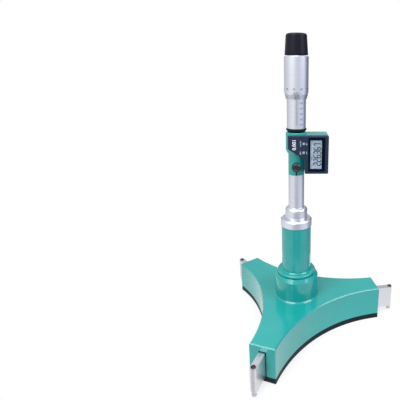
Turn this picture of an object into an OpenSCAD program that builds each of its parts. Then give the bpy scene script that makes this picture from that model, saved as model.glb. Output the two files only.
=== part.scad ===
// Digital inside micrometer with three anvils on a tripod head.
// Turning the thimble feeds a cone down the column, and the cone spreads the anvils.
// The axis of the instrument is Z, the base plate rests on Z = 0, and anvil 1 points along +X.

/* [Measuring range] */
// Smallest bore that the anvils touch, as a diameter
range_low = 225; // [220:1:232]
// Growth of that diameter over the whole travel
range_span = 25; // [20:1:25]
// How far the anvils are opened above the smallest bore, as a diameter
set_up = 1.367; // [0:0.001:20]

/* [Tripod head] */
// Distance from the axis to the flat end of an arm
arm_reach = 92.5; // [90:0.5:96]
// Width of the flat end of an arm
arm_w = 25.6; // [23:0.2:28]
// Distance from the axis to the deepest point of a hollow side
waist = 37.5; // [36:0.5:42]
// Thickness of the base plate
plate_t = 6; // [5:0.5:7]
// Height of the tripod above the base plate
head_h = 31.6; // [30:0.2:36]
// Chamfer along the top edges of the tripod
head_edge = 0.9; // [0.5:0.1:1.2]
// Diameter of the boss in the middle of the tripod
boss_d = 46.6; // [44:0.2:52]
// Thickness of the wall over the chamber of the cone, at the top of the boss
boss_web = 1.4; // [1:0.1:3]
// Width of the bevel round the top of the boss
bevel_w = 2.3; // [1:0.1:2.4]
// Height of that bevel
bevel_h = 3.7; // [2:0.1:5]

/* [Anvils] */
// Thickness of an anvil blade
blade_t = 6.2; // [5.4:0.1:6.8]
// Height of the part of the blade that shows
blade_h = 24.7; // [22:0.1:25]
// Height of its lower edge above the base plate
blade_lift = 0.5; // [0.3:0.1:1.5]
// Width of the slot mouth in the end of an arm
mouth_w = 7.6; // [7.2:0.1:9]
// Height of the slot mouth above the base plate
mouth_h = 26.3; // [26:0.1:28]
// Depth of the slot mouth
mouth_l = 12; // [8:0.5:14]
// Diameter of the carbide measuring pin
pin_d = 4.6; // [4:0.1:5]
// How far the measuring pin stands above the blade
pin_over = 1; // [0.4:0.1:2]
// How far the measuring pin stands below the blade
pin_under = 4.7; // [3:0.1:5.2]

/* [Column] */
// Diameter of the column
column_d = 30.8; // [29:0.2:34]
// Height of the column above its foot ring
column_h = 50.6; // [48:0.2:60]
// Diameter of the foot ring
flange_d = 40.8; // [38:0.2:42]
// Height of the foot ring
flange_h = 3.6; // [3:0.1:5]
// Diameter of the end ring on top of the column
ring_d = 32.1; // [30:0.1:36]
// Height of the end ring
ring_h = 7.8; // [6:0.1:10]
// Diameter of the coupling nut
nut_d = 22.6; // [22:0.1:26]
// Height of the coupling nut
nut_h = 12; // [11:0.1:16]
// Diameter of the stem tube
stem_d = 15.9; // [15:0.1:17]
// Length of stem tube that shows
stem_show = 35.2; // [30:0.2:60]

/* [Readout] */
// Angle of the readout about the axis, measured from the front
readout_turn = -10; // [-60:1:60]
// Length of neck that shows below the readout box
neck_show = 2.8; // [1:0.1:8]
// Height of the readout box
box_h = 38.6; // [37:0.2:46]
// Distance from the axis to the right side of the box
box_right = 31; // [30:0.5:40]
// Distance from the axis to the back of the box
box_back = 13.6; // [13:0.1:18]
// Thickness of the front panel
panel_t = 1.8; // [1.7:0.1:2.4]
// Distance from the axis to the left edge of the front panel
panel_left = 8.4; // [7:0.1:9]
// Corner radius of the front panel
panel_corner = 1.2; // [1:0.1:3]
// Diameter of the barrel round the sleeve
barrel_d = 20.8; // [20:0.1:24]
// Width of the display opening
lcd_w = 11; // [10:0.1:12]
// Distance from the foot of the box to the display opening
lcd_low = 4.9; // [4.4:0.1:6]
// Distance from the display opening to the top of the box
lcd_high = 5.5; // [5:0.1:7]
// Width of the black frame round the display
bezel_w = 2.7; // [1.4:0.05:2.8]
// Diameter of a key
key_d = 2.5; // [2:0.1:3]
// Distance between the two keys
key_pitch = 8.6; // [7:0.1:10]
// Diameter of the head of the clamp screw
knob_d = 9.2; // [7:0.1:10]
// Height of the head of the clamp screw
knob_h = 4.4; // [3:0.1:6]

/* [Sleeve and thimble] */
// Diameter of the scale sleeve
sleeve_d = 18.4; // [18:0.1:20]
// Length of sleeve that shows at the smallest bore
sleeve_show = 29.1; // [28:0.1:36]
// Height of the seal ring under the sleeve
seal_h = 3.8; // [3.4:0.1:6]
// Diameter of the thimble
thimble_d = 23.1; // [22.6:0.1:26]
// Height of the thimble
thimble_h = 38.7; // [38:0.1:46]
// Height of the tapered scale edge of the thimble
taper_h = 6.5; // [4:0.1:9]
// Diameter of the ratchet cap at its foot
cap_d = 21.9; // [21:0.1:24]
// Diameter of the ratchet cap below its rounded top
cap_top_d = 19.7; // [19.4:0.1:21]
// Height of the ratchet cap
cap_h = 18.9; // [18:0.1:24]

/* [Clearances] */
// Gap round the anvil blades in their slots
slide_gap = 0.1; // [0.05:0.01:0.15]
// Radial gap of a running shaft
run_gap = 0.05; // [0.02:0.01:0.08]
// Gap between pieces that are fitted together
fit_gap = 0.02; // [0.01:0.01:0.03]
// Radial gap between the thimble and the sleeve
thimble_gap = 0.3; // [0.2:0.05:0.35]
// Gap between the cone and an anvil blade
cone_gap = 0.1; // [0.05:0.01:0.15]

/* [Hidden] */
$fn = 96;
arms = [0, 1, 2];
over = 1;

// Growth of the cone's radius for each millimetre of its length
cone_slope = 0.5;
feed = set_up / 2 / cone_slope;
travel = range_span / 2 / cone_slope;
feed_left = travel - feed;
anvil_in = set_up / 2;
anvil_out = (range_span - set_up) / 2;
anvil_r = (range_low + set_up) / 2;

// Cone and the heel of the blade that rides on it
tip_r = 2;
tip_gap = 0.9;
contact_h = 3;
contact_over = 0.4;
heel_w = 4;
blade_in_low = 2.9;
z_tip_end = plate_t + tip_gap;
z_tip = z_tip_end + feed_left;
blade_in = blade_in_low + anvil_in;
z_face0 = z_tip_end + travel + (blade_in_low - cone_gap - tip_r) / cone_slope;
z_face1 = z_face0 + contact_h;
heel_in = blade_in + contact_h * cone_slope;
heel_out = heel_in + heel_w;
z_cone_end = z_face1 + contact_over;
z_cone1 = z_cone_end + feed_left;
cone_r = tip_r + cone_slope * (z_cone_end - z_tip_end);
cone_room = 0.7;
cavity_r = cone_r + cone_room;
z_cavity1 = z_cone_end + travel + 0.5;

// Levels of the fixed pieces, from the base plate up
z_head1 = plate_t + head_h;
z_boss1 = z_cavity1 + boss_web;
z_flange1 = z_boss1 + flange_h;
z_col1 = z_flange1 + column_h;
z_ring1 = z_col1 + ring_h;
z_nut1 = z_ring1 + nut_h;
z_stem1 = z_nut1 + stem_show;
z_box0 = z_stem1 + neck_show;
z_box1 = z_box0 + box_h;
barrel_rise = 0.9;
z_barrel1 = z_box1 + barrel_rise;
z_seal1 = z_barrel1 + seal_h;

// Levels of the thimble and the cap at the reading that is set
z_thim_low = z_seal1 + sleeve_show;
z_thim0 = z_thim_low - feed;
z_thim1 = z_thim0 + thimble_h;
cap_gap = 0.8;
z_cap0 = z_thim1 + cap_gap;
z_cap1 = z_cap0 + cap_h;

// Hollow sides of the tripod: an arc through two arm corners and the waist
corner_along = arm_reach / 2 + arm_w / 2 * sin(60);
corner_side = arm_reach * sin(60) - arm_w / 4;
arc_sag = corner_along - waist;
arc_r = (corner_side ^ 2 + arc_sag ^ 2) / (2 * arc_sag);
arc_c = waist + arc_r;

// Anvil blade and its slot
z_blade0 = plate_t + blade_lift;
z_blade1 = z_blade0 + blade_h;
z_rail = plate_t + slide_gap;
nose_round = 0.8;
pin_r = pin_d / 2;
pin_at = anvil_r - pin_r;
pin_proud = 0.6;
nose_at = anvil_r - pin_proud;
rail_end = arm_reach - mouth_l - anvil_out - over;
slot_w = blade_t + 2 * slide_gap;
z_slot1 = z_blade1 + slide_gap;
heel_room = 0.6;
heel_slot_l = heel_out + anvil_out + heel_room;

// Return spring of a blade, pushing against a post on the base plate
post_r = 1.8;
post_at = 60;
post_room = 0.3;
post_seat = 2.5;
spring_wire = 0.4;
spring_r = 2.2;
spring_turns = 9;
spring_gap = 0.1;
spring_solid = (spring_turns + 2) * 2 * spring_wire;
z_spring = (z_rail + z_blade1) / 2;
z_post1 = z_spring + spring_r + spring_wire;
window_h = 2 * (spring_r + spring_wire) + 1;
window_in = post_at - post_r - anvil_out - spring_solid;
window_out = post_at + post_r + anvil_in + post_room;
groove_in = post_at - post_r - anvil_out - post_room;

// Base plate screws, beside the slots and under the waist
screw_r = 1.6;
screw_head_r = 3.2;
screw_bite = 7;
screw_len = plate_t + screw_bite;
screw_at = arm_reach - 8;
screw_side = (arm_w / 2 + mouth_w / 2) / 2;
screw_waist = (cavity_r + waist) / 2;
screw_deep = 0.3;

// Push rod, its bushes and its spring
rod_r = 4;
spigot_h = 11.4;
spigot_r = 12.4;
bush_r = 8;
bore_col = 11;
z_spigot1 = z_boss1 + spigot_h;
ring_spigot_h = 4.6;
seat_t = 3;
seat_r = 9;
seat_room = 0.6;
z_seat0 = z_col1 - ring_spigot_h - seat_room - seat_t - feed;
rod_wire = 0.7;
rod_spring_r = 7;
rod_turns = 8;
stem_r = stem_d / 2;
stem_bore = stem_r - 1.95;
z_stem0 = z_col1 - ring_spigot_h + 0.3;
upper_bush_h = 10;
rod_stub_r = 3;
rod_stub_h = 12;

// Column end ring and coupling nut
ring_edge = 1.2;
thread_r = stem_r + 1.7;
thread_h = nut_h - 4.4;
nut_rim = 0.4;
nut_dome = 3.2;
nut_play = 0.1;

// Readout, in its own frame: x right, y to the back
barrel_r = barrel_d / 2;
box_front = barrel_r + 0.1;
core_r = stem_r - 1;
neck_bore = core_r + run_gap;
z_enc0 = z_box0 + 16;
barrel_h = 16.1;
z_barrel0 = z_box1 - barrel_h;
barrel_taper = 4.8;
z_neck1 = z_barrel0 - barrel_taper;
neck_slit = 1.2;
panel_face = box_front + panel_t;
panel_edge = 0.7;
panel_drop = 1;
z_panel1 = z_box1 - panel_drop;
diag = 33;
scoop_r = stem_r + 0.05;
scoop_drop = 28.75;
z_scoop = z_box1 - scoop_drop;
back_corner = 3;
lcd_in = 12.1;
lcd_x = box_right - lcd_in;
lcd_h = box_h - lcd_low - lcd_high;
z_lcd = z_box0 + lcd_low + lcd_h / 2;
bezel_shift = 0.6;
bezel_corner = 1.2;
bezel_deep = 0.25;
window_deep = 0.5;
window_t = 1.1;
lcd_t = 1.5;
lcd_margin = 0.9;
board_t = 1.1;
board_at = box_front - 1.7;
pocket_in = board_at - board_t - fit_gap;
board_left = 4.6;
board_step = scoop_r + 1.9;
board_room = 0.15;
board_margin = 3;
key_x = 6.9;
key_drop = 13;
z_key = z_box1 - key_drop;
z_board_step = z_key - key_pitch / 2 - 2.1;
key_proud = 0.5;
key_lip_r = key_d / 2 + 0.7;
key_lip_t = 0.6;
key_play = 0.1;
key_foot = 0.55;
key_foot_r = 0.9;
battery_r = 10;
battery_t = 3.2;
battery_in = 13;
battery_x = box_right - battery_in;
battery_drop = 0.6;
z_battery = z_lcd - battery_drop;
battery_cap_r = 11.5;
battery_cap_t = 2;
coin_slot = 1.4;
case_screw_r = 0.8;
case_head_r = 1.4;
case_head_t = 1.3;
case_screw_in = 2.4;
case_screw_bite = 1.1;
case_screw_at = [
    [scoop_r + 2, 1.7], [box_right - 1.7, 2.4], [box_right - 1.7, box_h - 3.4], [scoop_r + 1, box_h - 2.6]
];
knob_z = z_box0 + 5.9;
knob_boss_r = 3.4;
knob_shank_r = 2;
knob_stand = 0.7;
knob_grooves = 18;

// Rotary encoder on the spindle
stator_t = 2;
stator_bore = 4.6;
disc_gap = 0.4;
disc_t = 1.6;
disc_r = core_r - 0.5;
hub_enc_r = 5.6;
hub_enc_h = 2.4;
key_slot_w = 1.2;
key_slot_deep = 1;
key_side = 0.1;
z_disc0 = z_enc0 + stator_t + disc_gap;
z_core0 = z_disc0 + disc_t + hub_enc_h + disc_gap;

// Spindle, thrust ball and rod end
spindle_r = 4;
ball_r = 2.5;
ball_gap = 0.04;
ball_deep = 2.6;
z_spin0 = z_enc0 + 0.5 - feed;
z_ball = z_spin0 - ball_gap - ball_r;
z_rod1 = z_ball - ball_r - ball_gap + ball_deep;

// Sleeve and thimble
sleeve_r = sleeve_d / 2;
thimble_r = thimble_d / 2;
thimble_bore = sleeve_r + thimble_gap;
lip_t = 0.35;
hub_h = 7.8;
z_hub0 = z_thim1 - hub_h;
sleeve_room = 0.9;
z_sleeve0 = z_barrel1 + 1.9;
z_sleeve1 = z_hub0 - feed_left - sleeve_room;
sleeve_bore = sleeve_r - 1.6;
core_bore = 4.7;
nut_l = 22;
z_nut0 = z_sleeve1 - nut_l;
thimble_nut_r = 6.2;
thimble_nut_h = 3.2;
z_shoulder = z_thim1 - thimble_nut_h - 0.1;
stub_r = 3;
stub_h = 5;

// Ratchet cap
cap_r = cap_d / 2;
cap_round = 2.3;
cap_wall = 2.6;
web_t = 2.5;
z_web0 = z_shoulder + stub_h + 0.5;
z_web1 = z_web0 + web_t;
lid_t = 2.6;
shoulder_r = 2.9;
shoulder_h = 8.4;
bolt_r = 1.5;
bolt_l = 9;
bolt_head_r = 5;
bolt_head_t = 2.2;
z_head_bolt = z_shoulder + stub_h + shoulder_h;
ratchet_wire = 0.5;
ratchet_spring_r = 4.2;
ratchet_turns = 5;

green = [0.16, 0.62, 0.56];
slate = [0.17, 0.23, 0.35];
black = [0.10, 0.11, 0.15];
silver = [0.84, 0.85, 0.90];
steel = [0.72, 0.74, 0.78];
dark_plate = [0.10, 0.18, 0.22];
bronze = [0.72, 0.55, 0.30];

// Points on an arc round c, from angle a0 to angle a1
function arc(c, r, a0, a1, steps = 8) = [
    for (i = [0 : steps]) let (a = a0 + (a1 - a0) * i / steps) [c[0] + r * cos(a), c[1] + r * sin(a)]
];

// Points of a quarter ellipse from radius r0 at z0 up to radius r1 at z1
function dome(r0, r1, z0, z1, steps = 10) = [
    for (i = [0 : steps]) let (a = 90 * i / steps) [r1 + (r0 - r1) * cos(a), z0 + (z1 - z0) * sin(a)]
];

// Height of the wire's centre after t turns of a spring whose end turns lie close
function coil_rise(t, turns, close, gap) =
    t < 1 ? close * t
    : t > turns - 1 ? gap - close * (turns - t)
    : close + (gap - 2 * close) * (t - 1) / (turns - 2);

// Compression spring that stands on Z = 0
module coil(mean_r, wire, height, turns, steps = 12, sides = 6) {
    rings = turns * steps;
    points = [
        for (i = [0 : rings], k = [0 : sides - 1])
            let (
                a = 360 * i / steps,
                b = 360 * k / sides,
                r = mean_r + wire * cos(b),
                z = wire + coil_rise(i / steps, turns, 2.4 * wire, height - 2 * wire) + wire * sin(b)
            )
            [r * cos(a), r * sin(a), z]
    ];
    skin = [
        for (i = [0 : rings - 1], k = [0 : sides - 1], half = [0, 1])
            let (
                n = (k + 1) % sides,
                near = i * sides + k,
                far = (i + 1) * sides + n
            )
            half == 0 ? [near, i * sides + n, far] : [near, far, (i + 1) * sides + k]
    ];
    first = [for (k = [sides - 1 : -1 : 0]) k];
    last = [for (k = [0 : sides - 1]) rings * sides + k];
    polyhedron(points, concat(skin, [first, last]));
}

module turned(outline) {
    rotate_extrude() polygon(outline);
}

module ring(outer, inner, z0, z1) {
    translate([0, 0, z0])
        difference() {
            cylinder(r = outer, h = z1 - z0);
            translate([0, 0, -over]) cylinder(r = inner, h = z1 - z0 + 2 * over);
        }
}

module hole(r, z0, z1) {
    translate([0, 0, z0]) cylinder(r = r, h = z1 - z0);
}

module at_arm(k) {
    rotate([0, 0, 120 * k]) children();
}

// Outline of the tripod: a triangle with three hollow sides
module tripod_2d() {
    difference() {
        rotate(60) circle(r = 2 * arm_reach, $fn = 3);
        for (k = arms)
            rotate(60 + 120 * k) translate([arc_c, 0]) circle(r = arc_r, $fn = 360);
    }
}

// Chamfer round the tripod at height z, up = 1 for a top edge and -1 for a bottom edge
module tripod_edge(z, size, up) {
    end_size = 0.85 * size;
    deep = 4 * size;
    for (k = arms) {
        rotate([0, 0, 60 + 120 * k])
            translate([arc_c, 0, z - up * 2 * size])
                mirror([0, 0, up > 0 ? 0 : 1])
                    cylinder(r1 = arc_r - size, r2 = arc_r + 2 * size, h = 3 * size, $fn = 360);
        at_arm(k)
            translate([arm_reach - end_size / 2, 0, z - up * end_size / 2])
                rotate([0, -45 * up, 0])
                    translate([0, -arm_w, -deep / 2])
                        cube([deep, 2 * arm_w, deep]);
    }
}

module at_plate_screws() {
    for (k = arms) {
        for (side = [-1, 1])
            at_arm(k) translate([screw_at, side * screw_side, 0]) children();
        rotate([0, 0, 60 + 120 * k]) translate([screw_waist, 0, 0]) children();
    }
}

// Space for one blade: its slot, the room for its heel and the wider mouth
module blade_slot() {
    translate([0, -slot_w / 2, plate_t - over])
        cube([arm_reach, slot_w, z_slot1 - plate_t + over]);
    translate([0, -slot_w / 2, plate_t - over])
        cube([heel_slot_l, slot_w, z_face1 + slide_gap - plate_t + over]);
    translate([arm_reach - mouth_l, -mouth_w / 2, plate_t - over])
        cube([mouth_l + over, mouth_w, mouth_h + over]);
}

module head_body() {
    foot = 1.4;
    boss_r = boss_d / 2;
    color(green)
        difference() {
            union() {
                difference() {
                    translate([0, 0, plate_t]) linear_extrude(head_h) tripod_2d();
                    tripod_edge(z_head1, head_edge, 1);
                }
                turned([
                    [0, z_head1 - over], [boss_r + foot, z_head1 - over], [boss_r + foot, z_head1],
                    [boss_r, z_head1 + foot], [boss_r, z_boss1 - bevel_h], [boss_r - bevel_w, z_boss1],
                    [spigot_r, z_boss1], [spigot_r, z_spigot1], [0, z_spigot1]
                ]);
            }
            hole(cavity_r, plate_t - over, z_cavity1);
            hole(bush_r, z_cavity1 - over, z_spigot1 + over);
            for (k = arms)
                at_arm(k) blade_slot();
            at_plate_screws() hole(screw_r + fit_gap, plate_t - over, screw_len + over);
        }
}

module base_plate() {
    color(dark_plate)
        difference() {
            linear_extrude(plate_t) tripod_2d();
            tripod_edge(0, head_edge / 3, -1);
            at_plate_screws() {
                hole(screw_r + fit_gap, -over, plate_t + over);
                translate([0, 0, -over])
                    cylinder(r = screw_head_r + fit_gap, h = over + screw_deep);
                translate([0, 0, screw_deep - fit_gap])
                    cylinder(r1 = screw_head_r + fit_gap, r2 = screw_r + fit_gap, h = screw_head_r - screw_r);
            }
            for (k = arms)
                at_arm(k)
                    translate([post_at, 0, 0]) hole(post_r + fit_gap, plate_t - post_seat, plate_t + over);
        }
}

module base_plate_screws() {
    socket = 2;
    color(steel)
        at_plate_screws()
            difference() {
                turned([
                    [0, screw_deep], [screw_head_r, screw_deep],
                    [screw_r, screw_deep + screw_head_r - screw_r], [screw_r, screw_len], [0, screw_len]
                ]);
                translate([0, 0, screw_deep - over]) cylinder(r = socket / sqrt(3), h = over + 1.4, $fn = 6);
            }
}

module spring_posts() {
    color(steel)
        for (k = arms)
            at_arm(k) translate([post_at, 0, 0]) hole(post_r, plate_t - post_seat, z_post1);
}

module column() {
    bead = flange_h / 2;
    flange_r = flange_d / 2;
    column_r = column_d / 2;
    cove = 1;
    color(green)
        difference() {
            turned(concat(
                [[0, z_boss1]],
                arc([flange_r - bead, z_boss1 + bead], bead, -90, 90, 12),
                [[column_r + cove, z_flange1], [column_r, z_flange1 + cove], [column_r, z_col1], [0, z_col1]]
            ));
            hole(spigot_r + fit_gap, z_boss1 - over, z_spigot1);
            hole(bore_col, z_boss1, z_col1 + over);
        }
}

module column_ring() {
    ring_r = ring_d / 2;
    bore = stem_r + fit_gap;
    color(silver)
        turned([
            [bore, z_col1 - ring_spigot_h], [bore_col - fit_gap, z_col1 - ring_spigot_h],
            [bore_col - fit_gap, z_col1], [ring_r, z_col1], [ring_r, z_ring1 - ring_edge],
            [ring_r - ring_edge, z_ring1], [thread_r, z_ring1], [thread_r, z_ring1 + thread_h],
            [bore, z_ring1 + thread_h]
        ]);
}

module coupling_nut() {
    nut_r = nut_d / 2;
    thread_bore = thread_r + fit_gap;
    color(silver)
        turned([
            [thread_bore, z_ring1], [nut_r - 0.4, z_ring1], [nut_r, z_ring1 + 0.4],
            each dome(nut_r, stem_r + nut_rim, z_nut1 - nut_dome, z_nut1), [stem_r + fit_gap, z_nut1],
            [stem_r + fit_gap, z_ring1 + thread_h + nut_play], [thread_bore, z_ring1 + thread_h + nut_play]
        ]);
}

module stem_tube() {
    color(silver)
        turned([
            [stem_bore, z_stem0], [stem_r, z_stem0], [stem_r, z_stem1],
            [core_r, z_stem1], [core_r, z_enc0], [stem_bore, z_enc0]
        ]);
}

module lower_rod_bush() {
    color(bronze) ring(bush_r - fit_gap, rod_r + run_gap, z_cavity1, z_spigot1);
}

module upper_rod_bush() {
    color(bronze) ring(stem_bore - fit_gap, rod_r + run_gap, z_stem0, z_stem0 + upper_bush_h);
}

module rod_spring() {
    color(steel)
        translate([0, 0, z_spigot1 + spring_gap])
            coil(rod_spring_r, rod_wire, z_seat0 - z_spigot1 - 2 * spring_gap, rod_turns);
}

module cone() {
    color(steel)
        difference() {
            translate([0, 0, z_tip]) cylinder(r1 = tip_r, r2 = cone_r, h = z_cone1 - z_tip);
            hole(rod_stub_r + fit_gap, z_cone1 - rod_stub_h - fit_gap, z_cone1 + over);
        }
}

module push_rod() {
    color(steel)
        difference() {
            turned([
                [0, z_cone1 - rod_stub_h], [rod_stub_r, z_cone1 - rod_stub_h], [rod_stub_r, z_cone1],
                [rod_r, z_cone1], [rod_r, z_rod1], [0, z_rod1]
            ]);
            hole(ball_r + fit_gap, z_rod1 - ball_deep, z_rod1 + over);
        }
}

module spring_seat() {
    color(steel) ring(seat_r, rod_r + fit_gap, z_seat0, z_seat0 + seat_t);
}

module thrust_ball() {
    color(steel) translate([0, 0, z_ball]) sphere(r = ball_r);
}

module spindle() {
    keyway_top = z_core0 + feed_left + over;
    color(steel)
        difference() {
            turned([
                [0, z_spin0], [spindle_r, z_spin0], [spindle_r, z_shoulder], [stub_r, z_shoulder],
                [stub_r, z_shoulder + stub_h], [0, z_shoulder + stub_h]
            ]);
            translate([spindle_r - key_slot_deep, -key_slot_w / 2, z_spin0 - over])
                cube([2 * key_slot_deep, key_slot_w, keyway_top - z_spin0 + over]);
            hole(bolt_r + fit_gap, z_shoulder + stub_h - bolt_l - 0.5, z_shoulder + stub_h + over);
        }
}

module encoder_stator() {
    color(bronze) ring(core_r, stator_bore, z_enc0, z_enc0 + stator_t);
}

module encoder_rotor() {
    color(black)
        union() {
            ring(disc_r, spindle_r + run_gap, z_disc0, z_disc0 + disc_t);
            ring(hub_enc_r, spindle_r + run_gap, z_disc0, z_disc0 + disc_t + hub_enc_h);
            translate([spindle_r - key_slot_deep + key_side, key_side - key_slot_w / 2, z_disc0])
                cube([key_slot_deep + 0.6, key_slot_w - 2 * key_side, disc_t + hub_enc_h]);
        }
}

module sleeve() {
    color(silver)
        turned([
            [core_bore, z_core0], [core_r, z_core0], [core_r, z_sleeve0], [sleeve_r, z_sleeve0],
            [sleeve_r, z_sleeve1 - 0.5], [sleeve_r - 0.5, z_sleeve1], [sleeve_bore, z_sleeve1],
            [sleeve_bore, z_nut0], [core_bore, z_nut0]
        ]);
}

module spindle_nut() {
    color(bronze) ring(sleeve_bore - fit_gap, spindle_r + run_gap, z_nut0, z_sleeve1);
}

module seal_ring() {
    rim = 0.75;
    lip_h = 1.9;
    color(black)
        turned([
            [core_r + fit_gap, z_barrel1], [stem_r, z_barrel1], [sleeve_r + rim - 0.3, z_seal1 - lip_h],
            [sleeve_r + rim, z_seal1 - lip_h + 0.4], [sleeve_r + rim, z_seal1 - 0.4],
            [sleeve_r + rim - 0.4, z_seal1], [sleeve_r + fit_gap, z_seal1], [sleeve_r + fit_gap, z_sleeve0],
            [core_r + fit_gap, z_sleeve0]
        ]);
}

module thimble() {
    color(silver)
        turned([
            [thimble_bore, z_thim0], [thimble_bore + lip_t, z_thim0], [thimble_r, z_thim0 + taper_h],
            [thimble_r, z_thim1 - 0.5], [thimble_r - 0.5, z_thim1], [thimble_nut_r + 0.1, z_thim1],
            [thimble_nut_r + 0.1, z_shoulder], [spindle_r + fit_gap, z_shoulder],
            [spindle_r + fit_gap, z_hub0], [thimble_bore, z_hub0]
        ]);
}

module thimble_nut() {
    slot = 1.6;
    color(steel)
        difference() {
            ring(thimble_nut_r, stub_r + fit_gap, z_shoulder, z_shoulder + thimble_nut_h);
            for (a = [0, 90])
                rotate([0, 0, a])
                    translate([-thimble_nut_r - over, -slot / 2, z_shoulder + thimble_nut_h - 1])
                        cube([2 * thimble_nut_r + 2 * over, slot, 1 + over]);
        }
}

module ratchet_cap() {
    top_r = cap_top_d / 2;
    inner_r = top_r - cap_wall;
    z_round = z_cap1 - cap_round;
    color(black)
        difference() {
            turned(concat(
                [[0, z_cap0], [cap_r - 0.4, z_cap0], [cap_r, z_cap0 + 0.4]],
                arc([top_r - cap_round, z_round], cap_round, 0, 90, 8),
                [[0, z_cap1]]
            ));
            hole(inner_r, z_cap0 - over, z_web0);
            hole(shoulder_r + run_gap, z_web0 - over, z_web1 + over);
            hole(inner_r, z_web1, z_cap1 + over);
        }
}

module ratchet_lid() {
    lid_r = cap_top_d / 2 - cap_wall - fit_gap;
    color(black)
        turned([
            [0, z_cap1 - lid_t], [lid_r, z_cap1 - lid_t], [lid_r, z_cap1 - 0.3],
            [lid_r - 0.3, z_cap1], [0, z_cap1]
        ]);
}

module ratchet_screw() {
    z_foot = z_shoulder + stub_h;
    slot = 1.2;
    color(steel)
        difference() {
            turned([
                [0, z_foot - bolt_l], [bolt_r, z_foot - bolt_l], [bolt_r, z_foot], [shoulder_r, z_foot],
                [shoulder_r, z_head_bolt], [bolt_head_r, z_head_bolt],
                [bolt_head_r, z_head_bolt + bolt_head_t],
                [0, z_head_bolt + bolt_head_t]
            ]);
            translate([-bolt_head_r - over, -slot / 2, z_head_bolt + bolt_head_t - 1])
                cube([2 * bolt_head_r + 2 * over, slot, 1 + over]);
        }
}

module ratchet_spring() {
    color(steel)
        translate([0, 0, z_web1 + spring_gap])
            coil(ratchet_spring_r, ratchet_wire, z_head_bolt - z_web1 - 2 * spring_gap, ratchet_turns);
}

// Plan of an anvil blade, with rounded corners at the measuring pin
module blade_plan_2d() {
    half = blade_t / 2;
    polygon(concat(
        [[0, half], [0, -half]],
        arc([nose_at - nose_round, nose_round - half], nose_round, -90, 0, 5),
        arc([nose_at - nose_round, half - nose_round], nose_round, 0, 90, 5)
    ));
}

// Anvil blade: a side profile with a heel at the cone and a flat nose at the measuring pin
module anvil_blade() {
    color(steel)
        difference() {
            intersection() {
                translate([0, blade_t, 0])
                    rotate([90, 0, 0])
                        linear_extrude(2 * blade_t)
                            polygon([
                                [blade_in, z_rail], [rail_end, z_rail], [rail_end, z_blade0],
                                [nose_at + over, z_blade0], [nose_at + over, z_blade1],
                                [heel_out, z_blade1], [heel_out, z_face1],
                                [heel_in, z_face1], [blade_in, z_face0]
                            ]);
                linear_extrude(z_face1 + over) blade_plan_2d();
            }
            translate([pin_at, 0, 0]) hole(pin_r + fit_gap, z_blade0 - over, z_blade1 + over);
            translate([window_in, -blade_t, z_spring - window_h / 2])
                cube([window_out - window_in, 2 * blade_t, window_h]);
            translate([groove_in, -post_r - post_room, z_rail - over])
                cube([window_out - groove_in, 2 * (post_r + post_room), z_spring - z_rail + over]);
        }
}

module measuring_pin() {
    color(black)
        translate([pin_at, 0, 0])
            turned([
                [0, z_blade0 - pin_under], [pin_r - 0.5, z_blade0 - pin_under],
                [pin_r, z_blade0 - pin_under + 0.5], [pin_r, z_blade1 + pin_over - 0.3],
                [pin_r - 0.3, z_blade1 + pin_over], [0, z_blade1 + pin_over]
            ]);
}

module return_spring() {
    length = post_at - post_r - window_in - 2 * spring_gap;
    color(steel)
        translate([window_in + spring_gap, 0, z_spring])
            rotate([0, 90, 0])
                coil(spring_r, spring_wire, length, spring_turns, 10, 5);
}

module in_readout() {
    rotate([0, 0, readout_turn]) children();
}

// Turns an outline in x and z into a plate between two distances in front of the axis
module front_plate(y_front, y_back) {
    translate([0, -y_back, 0])
        rotate([90, 0, 0])
            linear_extrude(y_front - y_back)
                children();
}

// Outline of the front panel: a plate with a scoop cut out of its lower left corner
function panel_points() =
    let (
        left = -panel_left,
        right = box_right,
        r = panel_corner,
        joint = [scoop_r * sin(diag), z_scoop + scoop_r * cos(diag)],
        z_left = joint[1] + (joint[0] - left) * tan(diag)
    )
    concat(
        arc([right - r, z_box0 + r], r, -90, 0, 5),
        arc([right - r, z_panel1 - r], r, 0, 90, 5),
        arc([left + r, z_panel1 - r], r, 90, 180, 5),
        [[left, z_left]],
        arc([0, z_scoop], scoop_r, 90 - diag, 0, 8),
        arc([scoop_r + r, z_box0 + r], r, 180, 270, 5)
    );

// Bevel cut along a straight edge of the front panel, through point p, facing the angle out in x and z
module edge_cut(p, out) {
    deep = 4 * panel_edge;
    long = 4 * box_h;
    translate([p[0], -panel_face, p[1]])
        rotate([0, -out, 0])
            translate([-panel_edge / 2, panel_edge / 2, 0])
                rotate([0, 0, -45])
                    translate([0, -deep / 2, -long / 2])
                        cube([deep, deep, long]);
}

// Plate with the panel's outline and bevelled outer edges
module bevelled_panel() {
    difference() {
        front_plate(panel_face, box_front) polygon(panel_points());
        edge_cut([box_right, z_lcd], 0);
        edge_cut([lcd_x, z_panel1], 90);
        edge_cut([-panel_left, z_lcd], 180);
        edge_cut([lcd_x, z_box0], 270);
    }
}

module rounded_2d(w, h, r) {
    polygon(concat(
        arc([w / 2 - r, h / 2 - r], r, 0, 90, 5),
        arc([r - w / 2, h / 2 - r], r, 90, 180, 5),
        arc([r - w / 2, r - h / 2], r, 180, 270, 5),
        arc([w / 2 - r, r - h / 2], r, 270, 360, 5)
    ));
}

// Outline of the circuit board, grown by grow
function board_points(grow) =
    let (
        left = board_left - grow,
        step = board_step - grow,
        right = box_right - board_margin + grow,
        low = z_box0 + board_margin - grow,
        high = z_panel1 - board_margin + grow,
        z_step = z_board_step - grow
    )
    [[step, low], [right, low], [right, high], [left, high], [left, z_step], [step, z_step]];

module at_keys() {
    for (k = [0, 1])
        translate([key_x, 0, z_key + (0.5 - k) * key_pitch]) children();
}

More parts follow.
